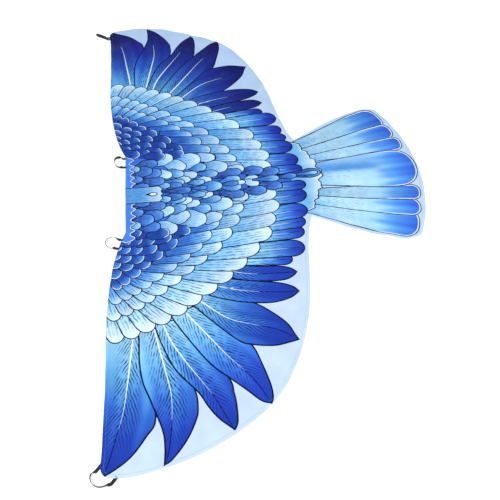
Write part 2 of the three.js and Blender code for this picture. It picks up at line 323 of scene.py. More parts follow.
def through(*points, step=5.0):
    """Points along a smooth line through these points, both ends kept."""
    points = np.array(points, float)
    first = 2 * points[0] - points[1]
    last = 2 * points[-1] - points[-2]
    knots = np.vstack([first, points, last])
    runs = [points[:1]]
    for a, b, c, d in zip(knots, knots[1:], knots[2:], knots[3:]):
        steps = max(2, math.ceil(np.linalg.norm(c - b) / step))
        t = np.arange(1, steps + 1)[:, None] / steps
        bend = 2 * b + (c - a) * t + (2 * a - 5 * b + 4 * c - d) * t**2 + (3 * b - a - 3 * c + d) * t**3
        runs.append(bend / 2)
    return np.vstack(runs)


def half_outline():
    """The right half, from the middle of the neck round to the middle of the tail's end."""
    slope = SHOULDER_X - NECK_HALF
    shoulder = TOP - SHOULDER_DROP
    rise = shoulder - NECK_Y
    run = TIP_X - SHOULDER_X
    neck = (NECK_HALF, NECK_Y)
    slope_a = (NECK_HALF + 0.21 * slope, NECK_Y + 0.6 * rise)
    slope_b = (NECK_HALF + 0.54 * slope, NECK_Y + 0.92 * rise)
    peak = (SHOULDER_X, shoulder)
    lead_a = (SHOULDER_X + 0.37 * run, shoulder)
    lead_b = (SHOULDER_X + 0.71 * run, shoulder - 2)
    tip = (TIP_X, TOP)
    round_off = (HALF_SPAN - 2, TOP - 14)
    wide_a = (HALF_SPAN + 10, TOP - 0.195 * WING_DEPTH)
    wide_b = (0.968 * HALF_SPAN, TOP - 0.487 * WING_DEPTH)
    wide = (0.839 * HALF_SPAN, TOP - 0.683 * WING_DEPTH)
    trail_a = (0.769 * HALF_SPAN, TOP - 0.79 * WING_DEPTH)
    trail_b = (0.629 * HALF_SPAN, TOP - 0.878 * WING_DEPTH)
    trail = (0.484 * HALF_SPAN, TOP - 0.913 * WING_DEPTH)
    root_a = (0.379 * HALF_SPAN, TOP - 0.936 * WING_DEPTH)
    root_b = (TAIL_ROOT_HALF + 47, ROOT_Y + 22)
    root = (TAIL_ROOT_HALF, ROOT_Y)
    side = (TAIL_HALF, CORNER_Y + 28)
    low_side = (TAIL_HALF - 4, CORNER_Y + 6)
    corner = (TAIL_HALF - 14, CORNER_Y - 7)
    return np.vstack([
        curve((0, NECK_Y), neck),
        curve(neck, slope_a, slope_b, peak),
        curve(peak, lead_a, lead_b, tip),
        curve(tip, (HALF_SPAN - 7, TOP), round_off),
        curve(round_off, wide_a, wide_b, wide),
        curve(wide, trail_a, trail_b, trail),
        curve(trail, root_a, root_b, root),
        curve(root, (TAIL_HALF - 19, (ROOT_Y + CORNER_Y) / 2), side),
        curve(side, low_side),
        curve(low_side, (TAIL_HALF - 5, CORNER_Y - 3), corner),
        curve(corner, (TAIL_HALF / 2, END), (0, END)),
    ])


MIRROR = np.array([-1.0, 1.0])


def whole_outline():
    """Clockwise from the middle of the neck."""
    right = half_outline()
    left = right[:-1][::-1] * MIRROR
    return np.vstack([[(0, NECK_Y)], right, left])


def moved_in(points, distance):
    """A clockwise outline moved inwards, with mitred corners."""
    run = np.roll(points, -1, 0) - points
    run /= np.linalg.norm(run, axis=1)[:, None]
    after = np.stack([run[:, 1], -run[:, 0]], 1)
    before = np.roll(after, 1, 0)
    share = distance / (1 + np.clip((before * after).sum(1), -0.2, 1))
    return points + (before + after) * share[:, None]


def clockwise(points):
    x, y = points[:, 0], points[:, 1]
    area = (x * np.roll(y, -1) - np.roll(x, -1) * y).sum()
    return points if area < 0 else points[::-1]


def distance_to(points, line, closed=True):
    """Shortest distance from each point to a line of points."""
    ends = np.roll(line, -1, 0) if closed else line[1:]
    starts = line if closed else line[:-1]
    best = np.full(len(points), 1e9)
    for a, b in zip(starts, ends):
        run = b - a
        share = np.clip(((points - a) @ run) / max(run @ run, 1e-9), 0, 1)
        gap = points - (a + share[:, None] * run)
        best = np.minimum(best, (gap**2).sum(1))
    return np.sqrt(best)


OUTLINE = whole_outline()


# ---------------------------------------------------------------- the feather print

# Each kind of feather: dyes from its tip inwards, as distance, colour on the left wing and colour on
# the right wing, which is the deeper one; the colour of its barbs; its ink line and white rim, and
# how far back the rim runs; where its white quill begins behind the tip; and its barbs: pitch along
# the shaft, sweep, strength, and the distances from the tip over which they come in. A sweep of None
# runs them along the feather. right_half is the dye of the half of a feather right of its shaft.
# Both wings carry one print: the left wing's lighter colours are painted light and painted sheen,
# and the right wing's deeper colours are painted shade.
BEYOND = 999  # a distance that no feather reaches
KINDS = {
    "margin": dict(
        dye=[(0, "#CADFF9", "#B4D2F5")], barbs="#FFFFFF", hair=(5, 1, 0, 0, 1)),
    "primary": dict(
        dye=[
            (0, "#1E3AA4", "#0A0850"),
            (60, "#2444BC", "#101070"),
            (120, "#3A76DA", "#162A98"),
            (180, "#6CB8F2", "#2658C2"),
            (260, "#A4DEFB", "#5CB2F2"),
        ],
        barbs="#081C5C", line=2.9, quill=75, hair=(12.0, 2.1, 0.95, 10, 110)),
    "secondary": dict(
        dye=[
            (0, "#2038AC", "#100E70"),
            (24, "#2E5AD0", "#1C32B0"),
            (50, "#5096E8", "#306EDA"),
            (75, "#86CCF6", "#5CB0F0"),
        ],
        barbs="#16308C", line=2.6, quill=30, hair=(7.5, None, 0.6, 15, 60)),
    "covert_a": dict(
        dye=[
            (0, "#E2F5FE", "#C2E5FB"),
            (30, "#CBECFD", "#A0D5F9"),
            (62, "#A2DAFA", "#6EBAF4"),
            (105, "#7CC4F4", "#3F92E6"),
        ],
        barbs="#2C6CBC", line=2.2, hair=(6.5, None, 0.85, 6, 42)),
    "covert_b": dict(
        dye=[
            (0, "#DCF2FE", "#BCE1FB"),
            (20, "#BCE4FC", "#92CCF8"),
            (42, "#8ECCF7", "#60A8EE"),
            (70, "#60A8EA", "#347ADA"),
        ],
        barbs="#1E52A6", line=2.2, hair=(6.0, None, 0.85, 4, 30)),
    "covert_c": dict(
        dye=[
            (0, "#CBEAFD", "#A8D7FA"),
            (14, "#A0D4F9", "#72B5F3"),
            (30, "#66AAEE", "#4084E0"),
            (50, "#3E7CD4", "#2050B8"),
        ],
        barbs="#16388C", line=2.0, rim=0.9, rim_reach=10, hair=(5.5, None, 0.8, 3, 22)),
    "scallop": dict(
        dye=[
            (0, "#86C0F6", "#649CE8"),
            (8, "#4C8ADE", "#3866C4"),
            (20, "#2450B0", "#16349A"),
        ],
        barbs="#101668", line=1.7, rim=1.5, rim_reach=11, hair=(4.5, None, 0.5, 2, 12)),
    "pale": dict(
        dye=[
            (0, "#D6EEFD", "#CCE8FC"),
            (25, "#A8D8FA", "#9CCEF8"),
            (50, "#64AEF0", "#589EEA"),
        ],
        barbs="#2E70C2", line=2.0, hair=(5.0, None, 0.7, 6, 34)),
    "sky": dict(
        dye=[
            (0, "#B4E0FB", "#A4D6F9"),
            (14, "#7CBEF4", "#6CB0EE"),
            (32, "#4084DC", "#3678D2"),
        ],
        barbs="#183E98", line=2.2, hair=(4.5, None, 0.7, 3, 20)),
    "royal": dict(
        dye=[
            (0, "#78B4F4", "#6AA6EC"),
            (14, "#3E78D8", "#346ACA"),
            (36, "#183C98", "#143288"),
        ],
        barbs="#7CB4F4", line=2.2, hair=(4.5, None, 0.45, 4, 20)),
    "breast": dict(
        dye=[(0, "#3A70D6", "#3468D0")], barbs="#16388C", hair=(6.0, 0.5, 0.6, 0, 1)),
    "collar": dict(
        dye=[(0, "#4C88EA", "#4480E4")],
        barbs="#1E58C8", line=1.6, rim=1.6, hair=(9.0, 0.5, 0.3, 0, 1)),
    "band": dict(
        dye=[(0, "#F2FAFE", "#E6F3FD"), (18, "#CCE9FB", "#BCE0F9"), (45, "#7CC2F3", "#6CB2EC")],
        barbs="#4C94DA", line=2.4, rim=1.6, hair=(6.0, 0.5, 0.3, 10, 30)),
    "tail": dict(
        dye=[
            (0, "#3666DA", "#2C5AD0"),
            (34, "#4A8AEE", "#3E7CE6"),
            (66, "#66AEF4", "#5AA0EE"),
            (96, "#B0E1FC", "#9AD3F9"),
            (170, "#C4EAFD", "#AEDFFA"),
            (240, "#86CAF4", "#78BCEE"),
        ],
        barbs="#1C5EB4", line=2.2, rim=2.4, rim_reach=75, hair=(15.0, 2.4, 0.45, 70, 170)),
}


KINDS["tail_middle"] = {**KINDS["tail"], "right_half": "#5A9EE8"}


class Feather:
    """One printed shape: its outline, the shaft from root to tip, and its kind."""

    def __init__(self, kind, edge, shaft):
        self.kind = kind
        edge = clockwise(np.array(edge, float))
        doubled = np.linalg.norm(edge - np.roll(edge, 1, 0), axis=1) < 0.05
        self.edge = edge[~doubled]
        self.shaft = np.array(shaft, float)

    def mirrored(self, about=0.0):
        turn = np.array([2 * about, 0.0])
        return Feather(self.kind, self.edge * MIRROR + turn, self.shaft * MIRROR + turn)

    def places(self, points):
        """Distance behind the tip along the shaft, distance across it, and distance to the edge."""
        starts, ends = self.shaft[:-1], self.shaft[1:]
        runs = ends - starts
        lengths = np.linalg.norm(runs, axis=1)
        passed = np.concatenate([[0], np.cumsum(lengths)])
        best = np.full(len(points), 1e9)
        along = np.zeros(len(points))
        across = np.zeros(len(points))
        for i, (a, run, length) in enumerate(zip(starts, runs, lengths)):
            ahead = run / length
            reach = (points - a) @ ahead
            low = -1e9 if i == 0 else 0
            high = 1e9 if i == len(starts) - 1 else length
            kept = np.clip(reach, low, high)
            gap = points - (a + kept[:, None] * ahead)
            far = (gap**2).sum(1)
            nearer = far < best
            best = np.where(nearer, far, best)
            along = np.where(nearer, passed[-1] - passed[i] - kept, along)
            side = gap @ np.array([-ahead[1], ahead[0]])
            across = np.where(nearer, side, across)
        return along, across, distance_to(points, self.edge)


def down(*points):
    """Points given as right of the middle and behind the wing tips, in the cape's frame."""
    return [(x, TOP - y) for x, y in points]


def leaf(kind, tip, heading, width, length, point=1.0, root=0.86, bend=0.0, fray=0.0):
    """A feather that runs back from its rounded tip to a root of a share of its width. A point over
    1 makes the tip longer, bend swings the root aside, and fray makes the sides wavy."""
    angle = math.radians(heading)
    ahead = np.array([math.cos(angle), -math.sin(angle)])
    side = np.array([ahead[1], -ahead[0]])
    reach = 0.62 * width * point
    turn = np.linspace(0, math.pi / 2, 8)
    back = reach * (1 - np.cos(turn))
    half = width / 2 * np.sin(turn) ** (1.0 / point ** 0.6)
    back = np.append(back, [reach + 0.4 * (length - reach), length])
    half = np.append(half, [width / 2 * (0.5 + 0.55 * root), width / 2 * root])
    tip = np.array(down(tip)[0], float)
    middle = tip - back[:, None] * ahead + (bend * (back / length) ** 1.6)[:, None] * side
    uneven = fray * np.sin(np.arange(len(half)) * 1.9 + width)
    near = middle + (half * (1 + uneven))[:, None] * side
    far = (middle - (half * (1 - uneven))[:, None] * side)[1:]
    return Feather(kind, np.vstack([near[::-1], far]), middle[::-1])


def fan(kind, tips, focus, length, wide=1.18, steepest=97):
    """A row of feathers that fan out from a focus, each laid over the one before it."""
    tips = np.array(tips, float)
    gaps = np.linalg.norm(np.diff(tips, axis=0), axis=1)
    widths = np.interp(np.arange(len(tips)), np.arange(len(gaps)) + 0.5, gaps) * wide
    row = []
    for tip, width in zip(tips, widths):
        heading = math.degrees(math.atan2(tip[1] - focus[1], tip[0] - focus[0]))
        row.append(leaf(kind, tip, min(heading, steepest), width, length, point=1.05))
    return row


def both(feathers):
    """Each feather with its mirror image, so that both wings overlap alike."""
    return [f for feather in feathers for f in (feather, feather.mirrored())]


def primaries():
    """The seven long flight feathers, wing tip first; each further in lies over the last."""
    shapes = [
        (
            [(340, 2), (450, -10), (560, -12), (600, -6), (616, 3)],
            [(616, 3), (612, 14), (590, 50), (560, 76), (527, 93), (440, 84), (340, 70)],
            [(300, 62), (370, 56), (450, 46), (520, 36), (590, 14), (616, 4)],
        ),
        (
            [(340, 62), (375, 65), (420, 65), (460, 70), (500, 84), (550, 101), (580, 104), (612, 102)],
            [(612, 102), (604, 116), (580, 138), (550, 156), (520, 165), (470, 158), (340, 108)],
            [(300, 88), (375, 98), (440, 111), (500, 120), (580, 113), (612, 102)],
        ),
        (
            [(340, 92), (375, 101), (420, 117), (450, 133), (490, 165), (520, 181), (545, 198), (568, 222)],
            [(568, 222), (555, 229), (530, 231), (500, 229), (460, 218), (340, 140)],
            [(300, 98), (375, 120), (420, 143), (460, 168), (500, 192), (540, 210), (568, 222)],
        ),
        (
            [(330, 125), (360, 140), (420, 177), (450, 200), (470, 221), (500, 252), (520, 272), (527, 290)],
            [(527, 290), (515, 295), (490, 294), (450, 284), (411, 270), (370, 235), (310, 175)],
            [(290, 130), (330, 157), (400, 205), (430, 226), (480, 266), (527, 290)],
        ),
        (
            [(285, 150), (310, 167), (350, 200), (400, 245), (413, 270), (420, 310), (416, 340), (412, 358)],
            [(412, 358), (398, 352), (375, 343), (350, 322), (323, 292), (300, 250), (265, 180)],
            [(270, 150), (305, 186), (350, 235), (372, 285), (388, 325), (412, 358)],
        ),
        (
            [(270, 180), (292, 200), (312, 250), (322, 290), (325, 325), (318, 358), (305, 377)],
            [(305, 377), (292, 366), (280, 340), (270, 300), (258, 250), (245, 190)],
            [(250, 170), (280, 240), (296, 300), (303, 345), (305, 377)],
        ),
        (
            [(238, 200), (262, 260), (274, 310), (277, 350), (270, 370), (260, 380)],
            [(260, 380), (248, 368), (240, 345), (234, 300), (215, 220)],
            [(222, 200), (250, 280), (258, 340), (260, 380)],
        ),
    ]
    made = []
    for front, rear, shaft in shapes:
        edge = np.vstack([through(*down(*front)), through(*down(*rear))[1:]])
        made.append(Feather("primary", edge, through(*down(*shaft), step=12)))
    return made


def secondaries():
    """The short flight feathers between the wing and the tail, outermost first."""
    places = [
        (228, 376, 30, 84),
        (200, 406, 46, 88),
        (157, 413, 36, 92),
        (131, 420, 34, 92),
        (99, 430, 46, 93),
        (54, 436, 46, 92),
        (24, 440, 30, 92),
    ]
    return [leaf("secondary", (x, y), heading, width, 130) for x, y, width, heading in places]


ROW_A = [
    (379, 28), (373, 60), (362, 90), (346, 122), (326, 155), (303, 186), (277, 220),
    (250, 254), (219, 286), (185, 316), (147, 346), (111, 360), (75, 373), (40, 372),
]
ROW_B = [
    (330, 24), (320, 50), (308, 74), (292, 96), (274, 122), (250, 152), (224, 180),
    (198, 208), (170, 240), (138, 264), (104, 284), (72, 296), (44, 308),
]
ROW_C = [
    (291, 28), (282, 50), (271, 70), (256, 92), (237, 117), (214, 146), (189, 174),
    (165, 200), (140, 221), (110, 240), (82, 250),
]
ROWS_D = [
    [(258, 30), (247, 48), (229, 70), (207, 92), (184, 119), (152, 150), (116, 176)],
    [(230, 28), (210, 56), (190, 80), (163, 108), (134, 138), (106, 158)],
    [(205, 30), (186, 54), (162, 78), (138, 104), (112, 128)],
    [(180, 32), (158, 54), (134, 78), (112, 100)],
    [(152, 36), (132, 56), (112, 76)],
]
FOCUS = (185, -11)
SCALLOP_FOCUS = (150, -20)


def coverts():
    """Three rows over the flight feathers, then rows of small dark scallops over the shoulders."""
    made = fan("covert_a", ROW_A, FOCUS, 135)
    made += fan("covert_b", ROW_B, FOCUS, 95)
    made += fan("covert_c", ROW_C, FOCUS, 80)
    for row in ROWS_D:
        made += fan("scallop", row, SCALLOP_FOCUS, 42, wide=1.05, steepest=110)
    return made


def ridge_x(y):
    """The middle of the back pattern leans a little: its place at a distance behind the tips."""
    return 0.055 * y - 19


POINTED = 1.55
SLIM_ROOT = 0.3
FRAY = 0.07

# Feathers beside the ridge: offset from it, distance behind the tips, width, length, heading, kind.
BESIDE_RIDGE = [
    (62, 124, 38, 66, 92, "royal"), (94, 116, 36, 60, 86, "royal"), (36, 130, 32, 76, 95, "royal"),
    (20, 142, 24, 60, 92, "sky"), (116, 134, 34, 50, 80, "scallop"), (72, 104, 40, 50, 88, "royal"),
    (50, 174, 30, 60, 95, "sky"), (118, 178, 32, 46, 84, "scallop"),
    (106, 152, 42, 56, 84, "pale"), (70, 180, 40, 70, 104, "pale"), (94, 214, 54, 72, 80, "pale"),
    (62, 226, 34, 54, 92, "sky"), (42, 204, 28, 54, 96, "pale"), (90, 248, 36, 50, 86, "pale"),
    (56, 274, 46, 76, 88, "pale"), (36, 250, 26, 50, 96, "sky"), (30, 188, 24, 50, 96, "pale"),
    (26, 174, 22, 50, 90, "sky"), (44, 310, 34, 54, 84, "pale"), (52, 148, 32, 46, 94, "pale"),
    (34, 302, 30, 76, 82, "royal"), (20, 234, 24, 44, 100, "pale"), (20, 218, 22, 40, 80, "sky"),
    (18, 168, 26, 50, 82, "royal"), (13, 298, 28, 56, 82, "sky"), (31, 352, 32, 60, 86, "royal"),
    (23, 388, 32, 60, 88, "royal"), (9, 338, 24, 48, 84, "pale"), (10, 224, 24, 48, 86, "sky"),
    (84, 76, 30, 40, 88, "sky"), (48, 82, 30, 40, 92, "royal"), (24, 96, 26, 50, 92, "royal"),
]
# Feathers on the ridge: distance behind the tips, width, length, kind.
ON_RIDGE = [
    (479, 30, 100, "royal"), (472, 14, 78, "sky"), (424, 20, 56, "royal"), (384, 22, 62, "sky"),
    (308, 16, 44, "pale"), (292, 18, 50, "royal"), (256, 34, 56, "sky"), (222, 16, 40, "royal"),
    (187, 24, 68, "royal"),
]


def back_pattern():
    """The ridge down the back: small feathers in mirrored pairs, then those on the ridge itself."""
    made = []
    lowest_first = sorted(BESIDE_RIDGE, key=lambda place: -place[1])
    for offset, y, width, length, heading, kind in lowest_first:
        middle = ridge_x(y)
        bend = 0.3 * width * math.sin(offset + y)
        tip = (middle + offset, y)
        feather = leaf(kind, tip, heading, width, length, POINTED, SLIM_ROOT, bend, FRAY)
        made += [feather, feather.mirrored(about=middle)]
    for y, width, length, kind in ON_RIDGE:
        made.append(leaf(kind, (ridge_x(y), y), 90, width, length, point=1.5, root=SLIM_ROOT))
    return made


COLLAR_TOOTH = 19
COLLAR_TEETH = 5


def collar():
    """The strip along the neck edge with a toothed lower side, and the pale panel at its middle."""
    middle = ridge_x(60)
    teeth = []
    for i in range(COLLAR_TEETH):
        x = 22 + i * COLLAR_TOOTH
        teeth += [(x, 66 - i), (x + 0.35 * COLLAR_TOOTH, 57 - i), (x + 0.8 * COLLAR_TOOTH, 67 - i)]
    wavy = through((16, 64), *teeth, (122, 58), (128, 42), step=3)
    edge = down((middle + 16, 30), *[(middle + x, y) for x, y in wavy], (middle + 122, 30))
    strip = Feather("collar", edge, down((middle + 60, 30), (middle + 60, 70)))
    scallops = [(-24, 116), (-14, 124), (-6, 120), (0, 126), (6, 120), (14, 124), (24, 116)]
    panel = [(-23, 30), *scallops, (23, 30)]
    panel_edge = down(*[(middle + x + 2, y) for x, y in panel])
    pale = Feather("pale", panel_edge, down((middle + 2, 30), (middle + 2, 126)))
    lens = leaf("band", (middle + 2, 112), 90, 12, 28, point=1.8, root=0.05)
    return [strip, strip.mirrored(about=middle), pale, lens]


BAND_SCALLOPS = [(108, 434), (96, 447), (80, 449), (66, 460), (50, 463), (38, 473), (20, 470), (0, 481)]


def band_between():
    """The white band, scalloped at its lower side, between the back and the tail."""
    side = [(x + 4, y) for x, y in BAND_SCALLOPS]
    arcs = []
    for a, b in zip(side, side[1:]):
        steep = b[1] - a[1] > 5
        sag = 7 if steep else 3
        arcs.append(a)
        arcs.append(((a[0] + b[0]) / 2, (a[1] + b[1]) / 2 + sag))
    right = down((118, 400), *arcs, side[-1])
    edge = np.array([*right, *[(8 - x, y) for x, y in right[::-1]]])
    return [Feather("band", edge, down((4, 380), (4, 481)))]


# Root, tip and width.
TAIL_FEATHERS = [
    ((90, 430), (171, 656), 82),
    ((72, 440), (124, 673), 52),
    ((50, 450), (80, 685), 46),
]
TAIL_MIDDLE = ((2, 430), (0, 697), 116)


def tail_fan():
    """Three feathers a side laid over each other towards the middle, and the wide middle one."""
    made = []
    for root, tip, width in TAIL_FEATHERS:
        made += both([tail_feather(root, tip, width)])
    return made + [tail_feather(*TAIL_MIDDLE, "tail_middle")]


def tail_feather(root, tip, width, kind="tail"):
    """Narrow at the root, widest near its square-shouldered round end."""
    start, end = (np.array(p, float) for p in down(root, tip))
    run = end - start
    length = np.linalg.norm(run)
    ahead = run / length
    side = np.array([ahead[1], -ahead[0]])
    turn = np.linspace(0, math.pi / 2, 10)
    round_end = 0.42 * width
    back = np.append(round_end * (1 - np.cos(turn)), [round_end + 40, 0.6 * length, length])
    half = np.append(width / 2 * np.sin(turn) ** 0.8, np.array([0.98, 0.78, 0.5]) * width / 2)
    middle = end - back[:, None] * ahead
    edge = np.vstack([(middle + half[:, None] * side)[::-1], (middle - half[:, None] * side)[1:]])
    return Feather(kind, edge, [start, end])


def breast():
    """Plain blue under the small feathers, so that none of the margin shows between them."""
    edge = [(0, 20), (200, 20), (230, 60), (170, 180), (120, 300), (80, 404), (30, 410), (0, 410)]
    edge += [(-x, y) for x, y in edge[-2:0:-1]]
    return [Feather("breast", down(*edge), down((0, 30), (0, 460)))]


def whole_print():
    """Every printed shape from the lowest to the topmost."""
    made = tail_fan() + band_between() + breast()
    made += both(primaries() + secondaries() + coverts())
    return made + back_pattern() + collar()


# ---------------------------------------------------------------- how the cloth lies

HEM = 7.0
STITCH_IN = 5.6
HEM_RINGS = (0.6, 4.9, STITCH_IN, 6.3, HEM)
CLOTH_THICK = 0.4
HEM_THICK = 1.3


def smooth(value, low, high):
    share = np.clip((value - low) / (high - low), 0, 1)
    return share * share * (3 - 2 * share)


def thickness(inside):
    """One layer, three in the hem, with a dip where the stitching pulls it down."""
    hem = (1 - smooth(inside, 6.2, HEM)) * (HEM_THICK - CLOTH_THICK)
    dip = 0.35 * np.exp(-((inside - STITCH_IN) / 0.5) ** 2)
    rounded = 0.45 * (1 - smooth(inside, 0, 0.8))
    return CLOTH_THICK + hem - dip - rounded


SWELL = 0.9
SWELL_MORE = 2.2  # further out on the wings
ROLL = 1.0
FLUTTER = 0.9
FLUTTER_REACH = 26
CALM = (14, 70)  # from a loop's end: the cloth lies flat within the first, freely beyond the second


def lie(points, inside):
    """Height of the underside: flat near the loops, soft waves elsewhere, ripples along the hem."""
    x, y = points[:, 0], points[:, 1]
    outward = smooth(np.abs(x), 120, 420)
    swell = np.sin(x / 47 + y / 83) * np.sin(y / 61 - x / 140 + 0.8)
    roll = np.sin(x / 29 - y / 52 + 1.1) * np.sin(y / 95 + x / 210)
    height = (SWELL + SWELL_MORE * outward) * (swell + 1) + ROLL * (roll + 1)
    flutter = np.exp(-inside / FLUTTER_REACH) * (np.sin(x / 9.5 + y / 15) + 1) * FLUTTER
    height = height + flutter
    calm = np.ones(len(points))
    for loop in LOOPS:
        for end in loop["ends"]:
            gap = np.linalg.norm(points - np.array(end)[None], axis=1)
            calm = np.minimum(calm, smooth(gap, *CALM))
    return height * calm


# ---------------------------------------------------------------- loops of tape: places

TAPE_WIDTH = 6.0
TAPE_THICK = 0.8
END_INSIDE = 4.5
END_REST = 0.3
FLAT_Z = END_REST + TAPE_THICK / 2
LOOP_GAP = 0.8
TWIST_LENGTH = 12
CLOSE_ENDS = TAPE_WIDTH + 2
TAPE_STEP = 1.2


def crossing(axis, value, rank):
    """The point of the outline at this x or y that ranks highest."""
    found = []
    for a, b in zip(OUTLINE, np.roll(OUTLINE, -1, 0)):
        run = b[axis] - a[axis]
        share = (value - a[axis]) / run if run else -1
        if 0 <= share <= 1:
            found.append(a + (b - a) * share)
    return max(found, key=rank)


def on_leading_edge(x):
    return crossing(0, x, lambda p: p[1])


def on_left_edge(y):
    return crossing(1, y, lambda p: -p[0])


# Each route is in the loop's own frame: along from its first sewn end to its second, out from the
# hem, and up, from the point midway between the ends. Stand is the way the tape's width points just
# after the first end and just before the second.
LOOPS = [
    dict(
        name="left_tip_loop",
        body="left_outer_wing",
        ends=[on_left_edge(TOP - 25), on_leading_edge(-TIP_X)],
        reach=8,
        route=[
            (-14, 15, 3.6), (-11, 20, 3.8), (-6, 25, 4), (1, 28, 4),
            (9, 27.5, 4), (16.5, 23, 3.9), (19.5, 17, 3.2), (18, 13, 2.6),
        ],
        stand=[(0, 0, 1), (0, 0, 1)],
    ),
    dict(
        name="right_tip_loop",
        body="right_outer_wing",
        ends=[on_leading_edge(TIP_X - 5 - CLOSE_ENDS), on_leading_edge(TIP_X - 5)],
        reach=3,
        route=[
            (-2.6, 9, 3.2), (1, 15, 3.8), (7, 24, 5), (12, 31, 5.8), (16, 35, 6.2),
            (18.5, 35, 6.2), (18, 31, 6), (13, 23, 5.4), (6.5, 14, 4), (4.4, 9, 3.2),
        ],
        stand=[(0, 0, 1), (0, 0, 1)],
    ),
    dict(
        name="left_shoulder_loop",
        body="back",
        ends=[on_leading_edge(-NECK_HALF - 41), on_leading_edge(-NECK_HALF - 19)],
        reach=3,
        route=[
            (-12.5, 9, 2.8), (-15, 16, 4), (-12, 24, 5.4), (-4, 29.5, 6.2),
            (4.5, 28, 6.4), (11, 22, 6), (14, 15, 4.4), (12, 9, 2.8),
        ],
        stand=[(-0.6, 0, 0.8), (-0.6, 0, 0.8)],
    ),
    dict(
        name="right_shoulder_loop",
        body="back",
        ends=[on_leading_edge(NECK_HALF - 35), on_leading_edge(NECK_HALF - 7)],
        reach=3,
        route=[
            (-15, 9, 3.4), (-17, 15, 6), (-14, 20.5, 9), (-6, 23.5, 11),
            (3, 23, 11), (10, 19, 9.2), (14.5, 13.5, 6), (15, 9, 3.4),
        ],
        stand=[(-0.6, 0, 0.8), (0.6, 0, 0.8)],
    ),
]


def loop_frame(loop):
    """Where a loop sits: its middle, and the directions along its ends and out of the hem."""
    a, b = (np.array([*end, 0.0]) for end in loop["ends"])
    along = (b - a) / np.linalg.norm(b - a)
    out = np.array([-along[1], along[0], 0.0])
    return (a + b) / 2, along, out


# ---------------------------------------------------------------- loops of tape: making

def new_piece(name, vertices, faces, material, smooth_faces=True):
    mesh = bpy.data.meshes.new(name)
    mesh.from_pydata([tuple(v) for v in vertices], [], faces)
    mesh.materials.append(material)
    mesh.polygons.foreach_set("use_smooth", [smooth_faces] * len(mesh.polygons))
    piece = bpy.data.objects.new(name, mesh)
    bpy.context.scene.collection.objects.link(piece)
    return piece


def tape_route(loop):
    """The tape's middle line from one sewn end to the other, in the cape's frame, evenly spaced."""
    middle, along, out = loop_frame(loop)
    half = np.linalg.norm(np.subtract(*loop["ends"])) / 2
    start = loop["reach"] + LOOP_GAP
    flat = [(x, y, FLAT_Z) for x in (-half, half) for y in (-END_INSIDE, 0, start, start + 2)]
    local = np.array([*flat[:4], *loop["route"], *flat[:3:-1]], float)
    points = middle + local[:, :1] * along + local[:, 1:2] * out + local[:, 2:] * np.array([0, 0, 1.0])
    fine = through(*points, step=0.5)
    passed = np.concatenate([[0], np.cumsum(np.linalg.norm(np.diff(fine, axis=0), axis=1))])
    places = np.linspace(0, passed[-1], round(passed[-1] / TAPE_STEP) + 1)
    route = np.stack([np.interp(places, passed, fine[:, i]) for i in range(3)], 1)
    return route, passed[-1]


def tape_profile():
    """Width and thickness of the tape's section, as shares of half of each, with a rounded edge."""
    turn = np.linspace(-math.pi / 2, math.pi / 2, 5)
    round_edge = TAPE_THICK / TAPE_WIDTH
    right = [(1 - round_edge * (1 - math.cos(t)), math.sin(t)) for t in turn]
    flats = [(w, 1.0) for w in (0.6, 0.2, -0.2, -0.6)]
    left = [(-w, -t) for w, t in right]
    return right + flats + left + [(-w, -t) for w, t in flats]


def make_loop(loop):
    """A strip of elastic tape that leaves the hem flat, twists to stand on its edge and comes back."""
    route, length = tape_route(loop)
    middle, along, out = loop_frame(loop)
    tangent = np.gradient(route, axis=0)
    tangent /= np.linalg.norm(tangent, axis=1)[:, None]
    first, last = (np.array(v, float) for v in loop["stand"])
    profile = tape_profile()
    vertices = []
    texture = []
    inside = loop["reach"] + END_INSIDE + LOOP_GAP
    for i, (place, ahead) in enumerate(zip(route, tangent)):
        share = i / (len(route) - 1)
        to_end = min(share, 1 - share) * length - inside
        twist = smooth(to_end, 1, TWIST_LENGTH)
        side = along * (1 if share < 0.5 else -1)
        wide = side + (first + (last - first) * share - side) * twist
        wide = wide - ahead * (wide @ ahead)
        wide /= np.linalg.norm(wide)
        thin = np.cross(ahead, wide)
        for w, t in profile:
            offset = wide * (w * TAPE_WIDTH / 2) + thin * (t * TAPE_THICK / 2)
            vertices.append((place + offset) * MM)
            texture.append((share * length, w * TAPE_WIDTH / 2))
    ring = len(profile)
    faces = [list(range(ring))]
    for i in range(len(route) - 1):
        for k in range(ring):
            a, b = i * ring + k, i * ring + (k + 1) % ring
            faces.append([a, a + ring, b + ring, b])
    faces.append([(len(route) - 1) * ring + k for k in reversed(range(ring))])
    tape = new_piece(loop["name"] + "_tape", vertices, faces, ELASTIC)
    layer = tape.data.uv_layers.new(name="along_tape")
    for corner in tape.data.loops:
        layer.data[corner.index].uv = texture[corner.vertex_index]
    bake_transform(tape)
    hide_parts(loop["name"], loop["name"] + "_end_1", loop["name"] + "_end_2")


for loop in LOOPS:
    make_loop(loop)


# ---------------------------------------------------------------- the printed sheet

GRID = 6.5
GOLDEN = 0.618  # gives each feather its own strength of dye, well spread
PAINTED_SHADE_SPAN = (-420, 520)  # the colours deepen from left to right between these: painted shade towards the right wing, painted light and sheen towards the left
STREAK_REACH = 0.035  # how far the dyes run into each other, as a share of the feather's dyed length

# Where the sheet is cut into pieces: beside the folds, so that each fold lies inside one piece.
PANEL_CUT = 130
WING_CUT = 280
TAIL_CUT = TOP - 418


def ground_points():
    """An even scatter inside the outline, in rows set half a step apart."""
    rows = []
    for i, y in enumerate(np.arange(END, TOP, GRID * 0.87)):
        x = np.arange(-HALF_SPAN, HALF_SPAN, GRID) + (i % 2) * GRID / 2
        rows.append(np.stack([x, np.full(len(x), y)], 1))
    return np.vstack(rows)


